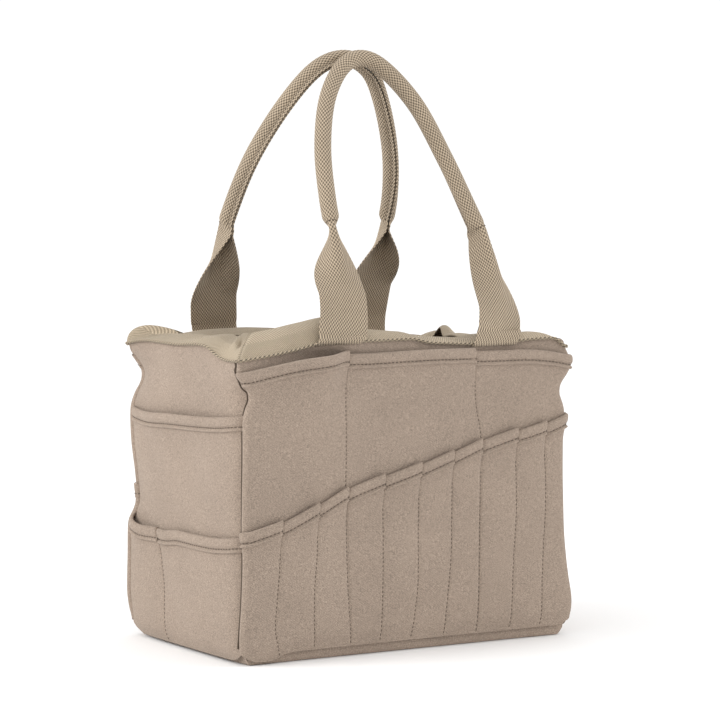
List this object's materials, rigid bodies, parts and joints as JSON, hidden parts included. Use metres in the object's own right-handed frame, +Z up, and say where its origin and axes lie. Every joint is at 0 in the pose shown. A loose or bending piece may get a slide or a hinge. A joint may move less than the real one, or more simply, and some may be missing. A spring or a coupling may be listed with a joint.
{
  "type": "garden tool bag",
  "caption": "Rectangular stand-up canvas bag, open at the top, with pockets on all four sides, a slanted row of tool pockets in front and two rolled webbing handles.",
  "frame": {"origin": "centre of the base's underside, on the surface the bag stands on", "axes": "+Z up, +X along the front to the right, +Y to the back"},
  "size_m": [0.3874, 0.257, 0.5686],
  "materials": {
    "canvas": "brushed cotton twill",
    "base_canvas": "brushed cotton twill",
    "webbing": "woven cotton webbing",
    "herringbone_tape": "herringbone cotton tape",
    "filler_cord": "cotton cord",
    "base_board": "matt"
  },
  "bodies": {
    "bag": {"back_lower_hem": "canvas", "back_lower_pocket": "canvas", "back_panel": "canvas", "back_upper_hem": "canvas", "back_upper_pocket": "canvas", "base_board": "base_board", "base_panel": "base_canvas", "front_panel": "canvas", "front_slant_hem": "canvas", "front_slant_pocket": "canvas", "front_upper_hem": "canvas", "front_upper_pocket": "canvas", "left_end_panel": "canvas", "left_lower_hem": "canvas", "left_lower_pocket": "canvas", "left_middle_hem": "canvas", "left_middle_pocket": "canvas", "right_end_panel": "canvas", "right_lower_hem": "canvas", "right_lower_pocket": "canvas", "right_middle_hem": "canvas", "right_middle_pocket": "canvas", "rim_band": "herringbone_tape"},
    "front_handle": {"front_handle_core": "filler_cord", "front_handle_strap": "webbing"},
    "rear_handle": {"rear_handle_core": "filler_cord", "rear_handle_strap": "webbing"}
  },
  "joints": [
    {"name": "front_handle_swing", "type": "hinge", "parent": "bag", "child": "front_handle", "pos_m": [0, -0.121, 0.292], "axis": [1, 0, 0], "range_deg": [0, 176]},
    {"name": "rear_handle_swing", "type": "hinge", "parent": "bag", "child": "rear_handle", "pos_m": [0, 0.121, 0.292], "axis": [-1, 0, 0], "range_deg": [0, 176]}
  ]
}
